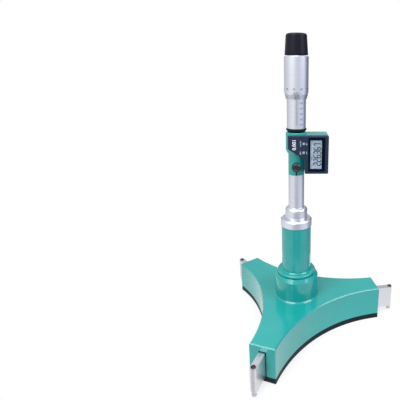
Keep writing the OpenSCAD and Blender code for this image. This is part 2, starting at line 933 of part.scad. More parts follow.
module at_case_screws() {
    for (p = case_screw_at)
        translate([p[0], 0, z_box0 + p[1]]) children();
}

// Cylinder along the readout's y axis, between two distances behind the axis
module along_y(r, y0, y1) {
    translate([0, y0, 0]) rotate([-90, 0, 0]) cylinder(r = r, h = y1 - y0);
}

module box_plan_2d() {
    polygon(concat(
        [[0, -box_front], [box_right, -box_front]],
        arc([box_right - back_corner, box_back - back_corner], back_corner, 0, 90, 6),
        arc([back_corner, box_back - back_corner], back_corner, 90, 180, 6)
    ));
}

module readout_body() {
    color(green)
        in_readout()
            difference() {
                union() {
                    front_plate(box_front, 0) polygon(panel_points());
                    intersection() {
                        front_plate(box_front, -box_back) polygon(panel_points());
                        translate([0, 0, z_box0]) linear_extrude(box_h) box_plan_2d();
                    }
                    intersection() {
                        translate([-panel_left, -box_front, z_panel1 - panel_corner])
                            cube([
                                box_right + panel_left - panel_corner,
                                2 * box_front,
                                panel_drop + panel_corner
                            ]);
                        translate([0, 0, z_box0]) linear_extrude(box_h - panel_drop / 2) box_plan_2d();
                    }
                    turned([
                        [0, z_stem1], [stem_r, z_stem1], [stem_r, z_neck1],
                        [barrel_r - 0.45, z_barrel0 - 1.5], [barrel_r, z_barrel0],
                        [barrel_r, z_barrel1 - 0.6], [barrel_r - 0.6, z_barrel1], [0, z_barrel1]
                    ]);
                    translate([0, 0, knob_z]) along_y(knob_boss_r, -stem_r - knob_stand, 0);
                }
                hole(neck_bore, z_stem1 - over, z_barrel1 + over);
                front_plate(box_front + over, pocket_in) polygon(board_points(board_room));
                translate([battery_x, 0, z_battery]) {
                    along_y(battery_r + fit_gap, box_back - battery_cap_t - battery_t - 0.1, box_back);
                    along_y(battery_cap_r + fit_gap, box_back - battery_cap_t, box_back + over);
                }
                at_case_screws() {
                    along_y(case_screw_r + fit_gap, -box_front - over, box_back);
                    along_y(case_head_r + fit_gap, box_back - case_screw_in, box_back + over);
                }
                translate([0, 0, knob_z]) along_y(knob_shank_r + fit_gap, -panel_face, -neck_bore + over);
                translate([-neck_slit / 2, -panel_face, z_stem1 - over])
                    cube([neck_slit, panel_face - neck_bore + over, knob_z - z_stem1 + over]);
            }
}

module readout_panel() {
    color(slate)
        in_readout()
            difference() {
                bevelled_panel();
                translate([lcd_x + bezel_shift, 0, z_lcd])
                    front_plate(panel_face + over, box_front - over)
                        rounded_2d(lcd_w + 2 * bezel_w, lcd_h + 2 * bezel_w, bezel_corner);
                at_keys() along_y(key_d / 2 + key_play, -panel_face - over, -box_front + over);
                at_case_screws()
                    along_y(case_screw_r + fit_gap, -box_front - case_screw_bite - 0.1, -box_front + over);
            }
}

module lcd_bezel() {
    frame_w = lcd_w + 2 * bezel_w - 2 * fit_gap;
    frame_h = lcd_h + 2 * bezel_w - 2 * fit_gap;
    color(black)
        in_readout()
            translate([lcd_x, 0, z_lcd])
                front_plate(panel_face - bezel_deep, box_front)
                    difference() {
                        translate([bezel_shift, 0]) rounded_2d(frame_w, frame_h, bezel_corner);
                        square([lcd_w, lcd_h], center = true);
                    }
}

module lcd_window() {
    color([0.85, 0.9, 0.95, 0.4])
        in_readout()
            translate([lcd_x, 0, z_lcd])
                front_plate(panel_face - window_deep, panel_face - window_deep - window_t)
                    square([lcd_w - 2 * fit_gap, lcd_h - 2 * fit_gap], center = true);
}

module lcd_cell() {
    color([0.66, 0.74, 0.80])
        in_readout()
            translate([lcd_x, 0, z_lcd])
                front_plate(box_front - fit_gap, box_front - fit_gap - lcd_t)
                    square([lcd_w + 2 * lcd_margin, lcd_h + 2 * lcd_margin], center = true);
}

module circuit_board() {
    color([0.05, 0.3, 0.15])
        in_readout()
            front_plate(board_at - fit_gap, board_at - board_t) polygon(board_points(0));
}

module button(k) {
    foot = board_at - fit_gap + key_foot;
    lip = box_front - 0.05;
    color([0.92, 0.93, 0.95])
        in_readout()
            translate([key_x, 0, z_key + (0.5 - k) * key_pitch])
                union() {
                    along_y(key_d / 2, -panel_face - key_proud, -lip);
                    along_y(key_lip_r, -lip, key_lip_t - lip);
                    along_y(key_foot_r, -lip, -foot);
                }
}

module button_1() { button(0); }

module button_2() { button(1); }

module battery() {
    rim = 0.4;
    y0 = box_back - battery_cap_t - battery_t;
    color(silver)
        in_readout()
            translate([battery_x, 0, z_battery])
                rotate([-90, 0, 0])
                    turned([
                        [0, y0], [battery_r - 1.2, y0], [battery_r - 1.2, y0 + rim], [battery_r, y0 + rim],
                        [battery_r, y0 + battery_t - 0.1], [0, y0 + battery_t - 0.1]
                    ]);
}

module battery_cover() {
    color(green)
        in_readout()
            translate([battery_x, 0, z_battery])
                difference() {
                    along_y(battery_cap_r, box_back - battery_cap_t, box_back);
                    translate([-battery_cap_r * 0.6, box_back - 1, -coin_slot / 2])
                        cube([battery_cap_r * 1.2, 1 + over, coin_slot]);
                }
}

module readout_screws() {
    head0 = box_back - case_screw_in;
    slot = 0.6;
    color(steel)
        in_readout()
            at_case_screws()
                difference() {
                    union() {
                        along_y(case_screw_r, -box_front - case_screw_bite, head0);
                        along_y(case_head_r, head0, head0 + case_head_t);
                    }
                    translate([-case_head_r - over, head0 + case_head_t - slot, -slot / 2])
                        cube([2 * case_head_r + 2 * over, slot + over, slot]);
                }
}

module clamp_screw() {
    seat = stem_r + knob_stand;
    groove = 0.5;
    edge = 1.4;
    color(black)
        in_readout()
            translate([0, 0, knob_z])
                difference() {
                    union() {
                        along_y(knob_shank_r, -seat, -core_r - fit_gap);
                        rotate([90, 0, 0])
                            turned([
                                [0, seat], [knob_d / 2, seat], [knob_d / 2, seat + knob_h - edge],
                                [knob_d / 2 - edge, seat + knob_h], [knob_d / 4, seat + knob_h],
                                [knob_d / 4 - 0.4, seat + knob_h - 0.4], [0, seat + knob_h - 0.4]
                            ]);
                    }
                    for (k = [0 : knob_grooves - 1])
                        rotate([0, 360 * k / knob_grooves, 0])
                            translate([knob_d / 2 + groove / 3, 0, 0])
                                along_y(groove, -seat - knob_h - over, -seat - groove);
                }
}

module anvil_blade_1() { at_arm(0) anvil_blade(); }

module anvil_blade_2() { at_arm(1) anvil_blade(); }

module anvil_blade_3() { at_arm(2) anvil_blade(); }

module measuring_pin_1() { at_arm(0) measuring_pin(); }

module measuring_pin_2() { at_arm(1) measuring_pin(); }

module measuring_pin_3() { at_arm(2) measuring_pin(); }

module return_spring_1() { at_arm(0) return_spring(); }

module return_spring_2() { at_arm(1) return_spring(); }

module return_spring_3() { at_arm(2) return_spring(); }

head_body();
base_plate();
base_plate_screws();
spring_posts();
column();
column_ring();
coupling_nut();
stem_tube();
lower_rod_bush();
upper_rod_bush();
rod_spring();
readout_body();
readout_panel();
lcd_bezel();
lcd_window();
lcd_cell();
circuit_board();
battery();
battery_cover();
readout_screws();
clamp_screw();
seal_ring();
sleeve();
spindle_nut();
encoder_stator();
encoder_rotor();
cone();
push_rod();
spring_seat();
thrust_ball();
spindle();
thimble();
thimble_nut();
ratchet_cap();
ratchet_lid();
ratchet_screw();
ratchet_spring();
button_1();
button_2();
anvil_blade_1();
anvil_blade_2();
anvil_blade_3();
measuring_pin_1();
measuring_pin_2();
measuring_pin_3();
return_spring_1();
return_spring_2();
return_spring_3();
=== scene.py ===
from math import cos, pi, radians, sin

import bpy
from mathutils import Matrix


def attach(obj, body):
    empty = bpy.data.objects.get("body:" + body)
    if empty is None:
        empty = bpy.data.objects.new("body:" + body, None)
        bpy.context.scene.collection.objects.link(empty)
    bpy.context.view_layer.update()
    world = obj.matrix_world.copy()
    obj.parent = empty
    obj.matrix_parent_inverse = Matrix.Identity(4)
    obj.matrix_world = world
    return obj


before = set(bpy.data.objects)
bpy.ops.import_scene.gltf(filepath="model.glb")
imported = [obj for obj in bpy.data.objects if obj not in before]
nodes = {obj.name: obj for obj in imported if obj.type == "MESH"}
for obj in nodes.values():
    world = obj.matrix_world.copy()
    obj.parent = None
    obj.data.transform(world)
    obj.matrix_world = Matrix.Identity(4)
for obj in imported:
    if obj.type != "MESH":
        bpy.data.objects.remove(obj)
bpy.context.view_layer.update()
mm = 0.001
readoutTurn = radians(-10)      # the readout and the index line face this way
print("frame loaded:", len(nodes), "nodes")


# handling objects

def clearSelection():
    bpy.ops.object.select_all(action='DESELECT')


def useOnly(piece):
    clearSelection()
    piece.select_set(True)
    bpy.context.view_layer.objects.active = piece


def applyPlace(piece):
    useOnly(piece)
    bpy.ops.object.transform_apply(location=True, rotation=True, scale=True)


def applyModifier(piece, kind, **settings):
    useOnly(piece)
    modifier = piece.modifiers.new(kind.lower(), kind)
    for key, value in settings.items():
        setattr(modifier, key, value)
    bpy.ops.object.modifier_apply(modifier=modifier.name)


def joinPieces(pieces, name):
    clearSelection()
    for piece in pieces:
        piece.select_set(True)
    bpy.context.view_layer.objects.active = pieces[0]
    bpy.ops.object.join()
    joined = bpy.context.view_layer.objects.active
    joined.name = name
    joined.data.name = name
    return joined


# flat artwork, drawn in x and y before it is laid on a surface

def flatBar(width, height, x, y):
    clearSelection()
    bpy.ops.mesh.primitive_plane_add(size=1, location=(x, y, 0))
    bar = bpy.context.object
    bar.scale = (width, height, 1)
    applyPlace(bar)
    return bar


def flatRow(width, height, x, y, count, stepX, stepY):
    row = flatBar(width, height, x, y)
    applyModifier(row, 'ARRAY', count=count, use_relative_offset=False, use_constant_offset=True,
                  constant_offset_displace=(stepX, stepY, 0))
    return row


def flatText(words, size, x, y, spin=0.0, wide=1.0, bold=0.0):
    clearSelection()
    bpy.ops.object.text_add(location=(0, 0, 0))
    writing = bpy.context.object
    writing.data.body = words
    writing.data.size = size
    writing.data.offset = bold * size
    writing.data.resolution_u = 2
    writing.data.align_x = 'CENTER'
    writing.data.align_y = 'CENTER'
    bpy.ops.object.convert(target='MESH')
    writing = bpy.context.object
    writing.scale = (wide, 1, 1)
    applyPlace(writing)
    writing.rotation_euler = (0, 0, spin)
    writing.location = (x, y, 0)
    applyPlace(writing)
    return writing


def cutFine(piece, cuts):
    useOnly(piece)
    bpy.ops.object.mode_set(mode='EDIT')
    bpy.ops.mesh.select_all(action='SELECT')
    bpy.ops.mesh.quads_convert_to_tris()
    bpy.ops.mesh.subdivide(number_cuts=cuts)
    bpy.ops.mesh.remove_doubles(threshold=1e-7)
    bpy.ops.object.mode_set(mode='OBJECT')


def raiseInk(piece, sunk, proud):
    applyModifier(piece, 'SOLIDIFY', thickness=sunk + proud, offset=1)


# lays flat artwork round the axis: x becomes the way round, y the height
def layRound(piece, radiusAt, turn, sunk):
    for point in piece.data.vertices:
        x, y = point.co.xy
        radius = radiusAt(y)
        angle = turn + x / radius
        reach = radius - sunk
        point.co = (reach * sin(angle), -reach * cos(angle), y)
    piece.data.update()


# stands flat artwork up on the readout's front: x to the right, y up
def layOnReadout(piece, depth):
    for point in piece.data.vertices:
        x, y = point.co.xy
        point.co = (x * cos(readoutTurn) + depth * sin(readoutTurn),
                    x * sin(readoutTurn) - depth * cos(readoutTurn), y)
    piece.data.update()


# finishes: every one is a node material on Object coordinates

noiseSpan = (0.3, 0.7)                      # the part of a noise that a tint or a roughness runs over
turned, drawn, even = (0.15, 0.15, 14), (1, 1, 16), (1, 1, 1)     # stretch of a metal's lines
metalRough = 0.6                            # scale of a metal's roughness, as a share of its lines'
coatingTint, coatingRough = 0.2, 0.5        # scales in a coating, as shares of its grain's
coatingBump = {"strength": 0.2, "distance": 0.00002}


def newFinish(name, colour, metallic, rough):
    finish = bpy.data.materials.new(name)
    finish.use_nodes = True
    shader = finish.node_tree.nodes["Principled BSDF"]
    shader.inputs["Base Color"].default_value = (*colour, 1)
    shader.inputs["Metallic"].default_value = metallic
    shader.inputs["Roughness"].default_value = sum(rough) / 2
    return finish, finish.node_tree, shader


def addNoise(tree, scale, detail=2.0, stretch=even):
    place = tree.nodes.new("ShaderNodeTexCoord")
    mapping = tree.nodes.new("ShaderNodeMapping")
    mapping.inputs["Scale"].default_value = stretch
    noise = tree.nodes.new("ShaderNodeTexNoise")
    noise.inputs["Scale"].default_value = scale
    noise.inputs["Detail"].default_value = detail
    tree.links.new(place.outputs["Object"], mapping.inputs["Vector"])
    tree.links.new(mapping.outputs["Vector"], noise.inputs["Vector"])
    return noise.outputs["Fac"]


def tintBy(tree, shader, fac, dark, light):
    ramp = tree.nodes.new("ShaderNodeValToRGB")
    for stop, position, colour in zip(ramp.color_ramp.elements, noiseSpan, (dark, light)):
        stop.position = position
        stop.color = (*colour, 1)
    tree.links.new(fac, ramp.inputs["Fac"])
    tree.links.new(ramp.outputs["Color"], shader.inputs["Base Color"])


def roughBy(tree, shader, fac, low, high):
    spread = tree.nodes.new("ShaderNodeMapRange")
    spread.inputs["From Min"].default_value, spread.inputs["From Max"].default_value = noiseSpan
    spread.inputs["To Min"].default_value = low
    spread.inputs["To Max"].default_value = high
    tree.links.new(fac, spread.inputs["Value"])
    tree.links.new(spread.outputs["Result"], shader.inputs["Roughness"])


def bumpBy(tree, shader, fac, strength, distance):
    bump = tree.nodes.new("ShaderNodeBump")
    bump.inputs["Strength"].default_value = strength
    bump.inputs["Distance"].default_value = distance
    tree.links.new(fac, bump.inputs["Height"])
    tree.links.new(bump.outputs["Normal"], shader.inputs["Normal"])


enamel = {"dark": (0.006, 0.305, 0.290), "light": (0.010, 0.335, 0.318), "rough": (0.13, 0.19),
          "patch": 28, "roughPatch": 160, "peel": 1100, "peelStrength": 0.12, "peelHeight": 0.00001,
          "coat": 0.3, "coatRough": 0.12}


def makeEnamel(s):
    finish, tree, shader = newFinish("greenEnamel", s["light"], 0, s["rough"])
    tintBy(tree, shader, addNoise(tree, s["patch"], detail=3), s["dark"], s["light"])
    roughBy(tree, shader, addNoise(tree, s["roughPatch"], detail=4), *s["rough"])
    bumpBy(tree, shader, addNoise(tree, s["peel"], detail=1), s["peelStrength"], s["peelHeight"])
    shader.inputs["Coat Weight"].default_value = s["coat"]
    shader.inputs["Coat Roughness"].default_value = s["coatRough"]
    return finish


# metal with fine turned lines round the axis, or drawn lines along an arm
def makeMetal(name, dark, light, rough, stretch, lines, height=0.00002, strength=0.15):
    finish, tree, shader = newFinish(name, light, 1, rough)
    fine = addNoise(tree, lines, stretch=stretch)
    tintBy(tree, shader, fine, dark, light)
    roughBy(tree, shader, addNoise(tree, lines * metalRough, detail=3, stretch=stretch), *rough)
    bumpBy(tree, shader, fine, strength, height)
    return finish


# darkens a metal above one height: painted shade on the stem tube, dark ends on the pins
def darkenAbove(finish, colour, height):
    tree = finish.node_tree
    shader = tree.nodes["Principled BSDF"]
    plain = shader.inputs["Base Color"].links[0].from_socket
    place = tree.nodes.new("ShaderNodeTexCoord")
    axes = tree.nodes.new("ShaderNodeSeparateXYZ")
    above = tree.nodes.new("ShaderNodeMath")
    above.operation = 'GREATER_THAN'
    above.inputs[1].default_value = height
    tint = tree.nodes.new("ShaderNodeMixRGB")
    tint.inputs["Color2"].default_value = (*colour, 1)
    tree.links.new(place.outputs["Object"], axes.inputs["Vector"])
    tree.links.new(axes.outputs["Z"], above.inputs[0])
    tree.links.new(above.outputs[0], tint.inputs["Fac"])
    tree.links.new(plain, tint.inputs["Color1"])
    tree.links.new(tint.outputs["Color"], shader.inputs["Base Color"])


# moulded, painted or printed surfaces with a fine grain
def makeCoating(name, dark, light, rough, grain, gloss=0.5):
    finish, tree, shader = newFinish(name, light, 0, rough)
    shader.inputs["Specular IOR Level"].default_value = gloss
    tintBy(tree, shader, addNoise(tree, grain * coatingTint, detail=3), dark, light)
    roughBy(tree, shader, addNoise(tree, grain * coatingRough), *rough)
    bumpBy(tree, shader, addNoise(tree, grain), **coatingBump)
    return finish


glass = {"colour": (0.93, 0.96, 0.98), "rough": (0.02, 0.06), "patch": 300, "ior": 1.45}


def makeGlass(s):
    finish, tree, shader = newFinish("displayGlass", s["colour"], 0, s["rough"])
    shader.inputs["Transmission Weight"].default_value = 1
    shader.inputs["IOR"].default_value = s["ior"]
    roughBy(tree, shader, addNoise(tree, s["patch"]), *s["rough"])
    return finish


# each has a dark and a light colour, its least and most roughness, and the scale of its lines or grain
finishes = {
    "enamel": makeEnamel(enamel),
    "chrome": makeMetal("satinChrome", (0.73, 0.76, 0.85), (0.79, 0.82, 0.92), (0.33, 0.39),
                        turned, 260, height=0.00001),
    "turnedNut": makeMetal("turnedNut", (0.60, 0.63, 0.71), (0.84, 0.87, 0.94), (0.28, 0.38),
                           turned, 120, height=0.00004, strength=0.4),
    "ground": makeMetal("groundSteel", (0.60, 0.60, 0.64), (0.74, 0.74, 0.79), (0.28, 0.40), drawn, 220),
    "stem": makeMetal("stemChrome", (0.71, 0.74, 0.83), (0.77, 0.80, 0.90), (0.33, 0.39),
                      turned, 260, height=0.00001),
    "carbide": makeMetal("carbide", (0.40, 0.40, 0.44), (0.54, 0.54, 0.59), (0.24, 0.34), turned, 240),
    "wire": makeMetal("springWire", (0.36, 0.36, 0.38), (0.50, 0.50, 0.53), (0.28, 0.40), even, 900),
    "bronze": makeMetal("bronze", (0.46, 0.29, 0.12), (0.58, 0.38, 0.17), (0.28, 0.42), turned, 240),
    "plate": makeCoating("darkPlate", (0.003, 0.010, 0.017), (0.006, 0.017, 0.027), (0.40, 0.55),
                         900, gloss=0.12),
    "slate": makeCoating("slatePanel", (0.010, 0.024, 0.052), (0.014, 0.030, 0.064), (0.34, 0.46),
                         1400, gloss=0.3),
    "bezel": makeCoating("blackFrame", (0.0015, 0.004, 0.015), (0.003, 0.007, 0.022), (0.25, 0.36),
                         1200, gloss=0.03),
    "knob": makeCoating("blackKnob", (0.005, 0.006, 0.016), (0.013, 0.013, 0.028), (0.26, 0.36),
                        1200, gloss=0.55),
    "cap": makeCoating("blackCap", (0.004, 0.005, 0.012), (0.008, 0.009, 0.020), (0.30, 0.40),
                       1300, gloss=0.18),
    "rubber": makeCoating("sealRubber", (0.003, 0.010, 0.014), (0.007, 0.018, 0.023), (0.40, 0.55),
                          900, gloss=0.15),
    "key": makeCoating("paleKey", (0.26, 0.37, 0.50), (0.33, 0.45, 0.58), (0.30, 0.42), 1500),
    "display": makeCoating("displayCell", (0.44, 0.56, 0.69), (0.50, 0.63, 0.76), (0.25, 0.35), 700),
    "board": makeCoating("boardMask", (0.006, 0.06, 0.03), (0.012, 0.10, 0.05), (0.30, 0.45), 900),
    "ink": makeCoating("scaleInk", (0.030, 0.032, 0.045), (0.050, 0.052, 0.068), (0.40, 0.55), 2000),
    "segment": makeCoating("displaySegment", (0.012, 0.018, 0.030), (0.020, 0.028, 0.045),
                           (0.40, 0.55), 2000),
    "print": makeCoating("panelPrint", (0.70, 0.71, 0.80), (0.78, 0.79, 0.88), (0.40, 0.55), 2000),
    "glass": makeGlass(glass),
}
darkenAbove(finishes["stem"], (0.010, 0.012, 0.018), 172.9 * mm)       # painted shade: the tube darkened inside its clamp, where the slit shows it
darkenAbove(finishes["carbide"], (0.075, 0.070, 0.085), 31.3 * mm)     # the pins' ground ends

wears = {
    "enamel": ("head_body", "column", "readout_body", "battery_cover"),
    "plate": ("base_plate",),
    "chrome": ("column_ring", "sleeve", "thimble", "battery"),
    "stem": ("stem_tube",),
    "turnedNut": ("coupling_nut",),
    "ground": ("anvil_blade_1", "anvil_blade_2", "anvil_blade_3", "cone", "push_rod", "spindle",
               "thrust_ball", "base_plate_screws", "spring_posts", "spring_seat", "thimble_nut",
               "ratchet_screw", "readout_screws"),
    "carbide": ("measuring_pin_1", "measuring_pin_2", "measuring_pin_3"),
    "wire": ("rod_spring", "return_spring_1", "return_spring_2", "return_spring_3", "ratchet_spring"),
    "bronze": ("lower_rod_bush", "upper_rod_bush", "spindle_nut", "encoder_stator"),
    "slate": ("readout_panel",),
    "bezel": ("lcd_bezel", "encoder_rotor"),
    "knob": ("clamp_screw",),
    "cap": ("ratchet_cap", "ratchet_lid"),
    "rubber": ("seal_ring",),
    "key": ("button_1", "button_2"),
    "display": ("lcd_cell",),
    "board": ("circuit_board",),
    "glass": ("lcd_window",),
}


def wear(piece, finish):
    piece.data.materials.clear()
    piece.data.materials.append(finishes[finish])


for finish, members in wears.items():
    for member in members:
        wear(nodes[member], finish)
print("finishes on the nodes:", len(finishes))


# scale on the sleeve: an index line, a mark each millimetre and half, and a number each fifth
sleeveScale = {"radius": 9.2 * mm, "lowAt": 248.2 * mm, "low": 225, "high": 250, "every": 5,
               "line": 0.14 * mm, "long": 2.8 * mm, "short": 1.7 * mm, "half": 1.1 * mm, "over": 1.6 * mm,
               "size": 2.5 * mm, "wide": 0.8, "numberAt": 4.9 * mm, "cuts": 2,
               "sunk": 0.02 * mm, "proud": 0.03 * mm}


def makeSleeveScale(s):
    span = s["high"] - s["low"]
    highAt = s["lowAt"] - span * mm                # higher numbers stand lower down
    parts = [flatBar(s["line"], span * mm + s["over"], 0, (s["lowAt"] + highAt) / 2),
             flatRow(s["short"], s["line"], s["short"] / 2, highAt, span + 1, 0, mm),
             flatRow(s["long"], s["line"], s["long"] / 2, highAt, span // s["every"] + 1, 0, s["every"] * mm),
             flatRow(s["half"], s["line"], -s["half"] / 2, highAt + mm / 2, span, 0, mm)]
    for value in range(s["low"], s["high"] + 1, s["every"]):
        z = s["lowAt"] - (value - s["low"]) * mm
        parts.append(flatText(str(value), s["size"], s["numberAt"], z, wide=s["wide"]))
    scale = joinPieces(parts, "sleeve_scale")
    cutFine(scale, s["cuts"])
    layRound(scale, lambda y: s["radius"], readoutTurn, s["sunk"])
    raiseInk(scale, s["sunk"], s["proud"])
    wear(scale, "ink")
    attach(scale, "frame")


makeSleeveScale(sleeveScale)
print("sleeve scale done")


# scale on the thimble: fifty marks on the taper and a number at every fifth
thimbleScale = {"edge": 246.833 * mm, "edgeRadius": 9.85 * mm, "taper": 6.5 * mm, "radius": 11.55 * mm,
                "divisions": 50, "every": 5, "atIndex": 36.7, "line": 0.40 * mm, "markLow": 0.3 * mm,
                "short": 4.0 * mm, "long": 5.4 * mm, "size": 2.7 * mm, "numberAt": 9.2 * mm,
                "markCuts": 1, "numberCuts": 2, "sunk": 0.02 * mm, "proud": 0.03 * mm}


def thimbleRadius(y):
    s = thimbleScale
    up = min(max((y - s["edge"]) / s["taper"], 0), 1)
    return s["edgeRadius"] + (s["radius"] - s["edgeRadius"]) * up


def makeThimbleScale(s):
    step = 2 * pi / s["divisions"]
    pieces = []
    for kind, every in (("short", 1), ("long", s["every"])):
        middle = s["edge"] + s["markLow"] + s[kind] / 2
        apart = thimbleRadius(middle) * step * every
        row = flatRow(s["line"], s[kind], 0, middle, s["divisions"] // every, apart, 0)
        cutFine(row, s["markCuts"])
        for point in row.data.vertices:            # marks keep their angle up the taper
            x, y, z = point.co
            number = round(x / apart)
            offset = x - number * apart
            point.co = (number * step * every * thimbleRadius(y) + offset, y, z)
        pieces.append(row)
    for value in range(0, s["divisions"], s["every"]):
        x, y = value * step * s["radius"], s["edge"] + s["numberAt"]
        pieces.append(flatText(str(value), s["size"], x, y))
        cutFine(pieces[-1], s["numberCuts"])
    scale = joinPieces(pieces, "thimble_scale")
    layRound(scale, thimbleRadius, readoutTurn - s["atIndex"] * step, s["sunk"])
    raiseInk(scale, s["sunk"], s["proud"])
    wear(scale, "ink")
    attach(scale, "thimble")


makeThimbleScale(thimbleScale)
print("thimble scale done")


# digits of the display, read from the bottom up, with their tops to the left
display = {"left": 13.4 * mm, "low": 180.7 * mm, "reading": "226367", "first": 4.5 * mm, "pitch": 3.79 * mm,
           "top": 3.5 * mm, "foot": 10.1 * mm, "wide": 2.4 * mm, "bar": 0.95 * mm, "swell": 1.15,
           "gap": 0.12 * mm, "lean": 0.06, "pointAfter": 3, "point": 0.8 * mm, "pointUp": 0.08 * mm,
           "unit": "mm", "unitSize": 1.9 * mm, "unitAt": (1.45 * mm, 10.4 * mm),
           "depth": 10.48 * mm, "proud": 0.06 * mm}
# which of the seven segments each number lights
lit = {"2": "top upperRight middle lowerLeft foot", "3": "top upperRight middle lowerRight foot",
       "6": "top upperLeft middle lowerLeft lowerRight foot", "7": "top upperRight lowerRight"}


def flatSegment(length, bar, swell, x, y, spin):
    clearSelection()
    bpy.ops.mesh.primitive_circle_add(vertices=6, radius=bar / 2, fill_type='NGON',
                                      rotation=(0, 0, pi / 6))
    segment = bpy.context.object
    applyPlace(segment)
    for point in segment.data.vertices:            # pointed ends kept, middle drawn out
        point.co.x += (length - bar) / 2 * (1 if point.co.x > 0 else -1)
        point.co.y *= swell
    segment.rotation_euler = (0, 0, spin)
    segment.location = (x, y, 0)
    applyPlace(segment)
    return segment


def makeDigits(s):
    tall = s["foot"] - s["top"]
    across, upright = s["wide"] - s["gap"], tall / 2 - s["gap"]
    side, low, high = s["wide"] / 2, tall * 0.25, tall * 0.75
    spots = {"top": (0, tall, across, 0), "middle": (0, tall / 2, across, 0), "foot": (0, 0, across, 0),
             "upperLeft": (-side, high, upright, pi / 2), "upperRight": (side, high, upright, pi / 2),
             "lowerLeft": (-side, low, upright, pi / 2), "lowerRight": (side, low, upright, pi / 2)}
    pieces = []
    for place, number in enumerate(s["reading"]):
        along = s["first"] + place * s["pitch"]
        for name in lit[number].split():
            x, y, length, spin = spots[name]
            pieces.append(flatSegment(length, s["bar"], s["swell"], along + x, y, spin))
    pointAlong = s["first"] + (s["pointAfter"] - 0.5) * s["pitch"]
    pieces.append(flatBar(s["point"], s["point"], pointAlong, s["pointUp"]))
    digits = joinPieces(pieces, "display_digits")
    for point in digits.data.vertices:             # lean the digits, then turn them up the display
        x, y = point.co.xy
        x += s["lean"] * y
        point.co = (s["left"] + s["foot"] - y, s["low"] + x, 0)
    unitX, unitY = s["unitAt"]
    unit = flatText(s["unit"], s["unitSize"], s["left"] + unitX, s["low"] + unitY, pi / 2)
    digits = joinPieces([digits, unit], "display_digits")
    layOnReadout(digits, s["depth"])
    raiseInk(digits, 0, s["proud"])
    wear(digits, "segment")
    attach(digits, "frame")


makeDigits(display)
print("display digits done")


# plain lettering on the front panel, read from the bottom up: size, x and z in mm, width and boldness
lettering = {"depth": 12.28 * mm, "proud": 0.05 * mm, "words": (
    ("0.001", 5.0, -2.15, 204.6, 0.95, 0.035),
    ("ON/OFF", 1.6, 3.95, 205.5, 1.0, 0), ("SET", 1.6, 9.75, 205.6, 1.1, 0),
    ("ZERO", 1.6, 3.95, 196.8, 1.0, 0), ("mm", 1.6, 9.75, 196.9, 1.0, 0))}


def makeLettering(s):
    pieces = [flatText(words, size * mm, x * mm, z * mm, pi / 2, wide, bold)
              for words, size, x, z, wide, bold in s["words"]]
    printed = joinPieces(pieces, "panel_lettering")
    layOnReadout(printed, s["depth"])
    raiseInk(printed, 0, s["proud"])
    wear(printed, "print")
    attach(printed, "frame")


makeLettering(lettering)
print("panel lettering done")


# studio: pale floor, soft lamps, white behind
# room and ground give the light round the object: angle from the front, level, and how cool it is
studio = {"floorRadius": 0.17, "floorSides": 128, "floorWhite": 0.92, "floorRough": 0.9, "floorGloss": 0.1,
          "keepShadow": 0.3, "shadowNear": 0.12, "shadowFar": 0.165,
          "roomFront": -10.75, "overhead": (0.36, 0.74), "overheadLight": 0.75, "underfoot": (-0.22, -0.42),
          "room": ((-180, 0.22, 0), (-150, 0.30, 0), (-112, 0.47, 0), (-84, 0.50, 0), (-70, 0.62, 0),
                   (-30, 0.62, 0), (-16, 0.48, 0), (24, 0.44, 0), (38, 0.40, 1), (88, 0.40, 1),
                   (104, 0.09, 2), (150, 0.09, 2), (172, 0.22, 0)),
          "ground": ((-180, 0.30, 0), (-112, 0.70, 0), (-70, 0.85, 0), (-34, 0.85, 0), (-22, 0.20, 0),
                     (28, 0.20, 0), (42, 0.70, 1), (84, 0.70, 1), (104, 0.20, 1), (172, 0.30, 0))}
coolLoss, coolGain = 0.08, 0.35                    # what a cool band loses in red and gains in blue


def mathNode(tree, operation, first, second):
    node = tree.nodes.new("ShaderNodeMath")
    node.operation = operation
    tree.links.new(first, node.inputs[0])
    tree.links.new(second, node.inputs[1])
    return node.outputs[0]


def makeFloor(s):
    clearSelection()
    bpy.ops.mesh.primitive_circle_add(vertices=s["floorSides"], radius=s["floorRadius"], fill_type='NGON',
                                      location=(0, 0, 0))
    floor = bpy.context.object
    floor.name = "floor"
    finish = bpy.data.materials.new("paleFloor")
    finish.use_nodes = True
    tree = finish.node_tree
    shader = tree.nodes["Principled BSDF"]
    shader.inputs["Base Color"].default_value = (s["floorWhite"],) * 3 + (1,)
    shader.inputs["Roughness"].default_value = s["floorRough"]
    shader.inputs["Specular IOR Level"].default_value = s["floorGloss"]
    glow = tree.nodes.new("ShaderNodeEmission")
    blend = tree.nodes.new("ShaderNodeMixShader")
    place = tree.nodes.new("ShaderNodeTexCoord")
    reach = tree.nodes.new("ShaderNodeVectorMath")
    reach.operation = 'LENGTH'
    plainness = tree.nodes.new("ShaderNodeMapRange")
    plainness.inputs["From Min"].default_value = s["shadowNear"]
    plainness.inputs["From Max"].default_value = s["shadowFar"]
    plainness.inputs["To Min"].default_value = 1 - s["keepShadow"]
    plainness.inputs["To Max"].default_value = 1
    rays = tree.nodes.new("ShaderNodeLightPath")
    seen = mathNode(tree, 'MAXIMUM', rays.outputs["Is Camera Ray"], rays.outputs["Is Transmission Ray"])
    seen = mathNode(tree, 'MAXIMUM', seen, rays.outputs["Is Glossy Ray"])
    tree.links.new(place.outputs["Object"], reach.inputs[0])
    tree.links.new(reach.outputs["Value"], plainness.inputs["Value"])
    tree.links.new(mathNode(tree, 'MULTIPLY', seen, plainness.outputs["Result"]), blend.inputs["Fac"])
    tree.links.new(shader.outputs[0], blend.inputs[1])
    tree.links.new(glow.outputs[0], blend.inputs[2])
    tree.links.new(blend.outputs[0], tree.nodes["Material Output"].inputs["Surface"])
    floor.data.materials.append(finish)


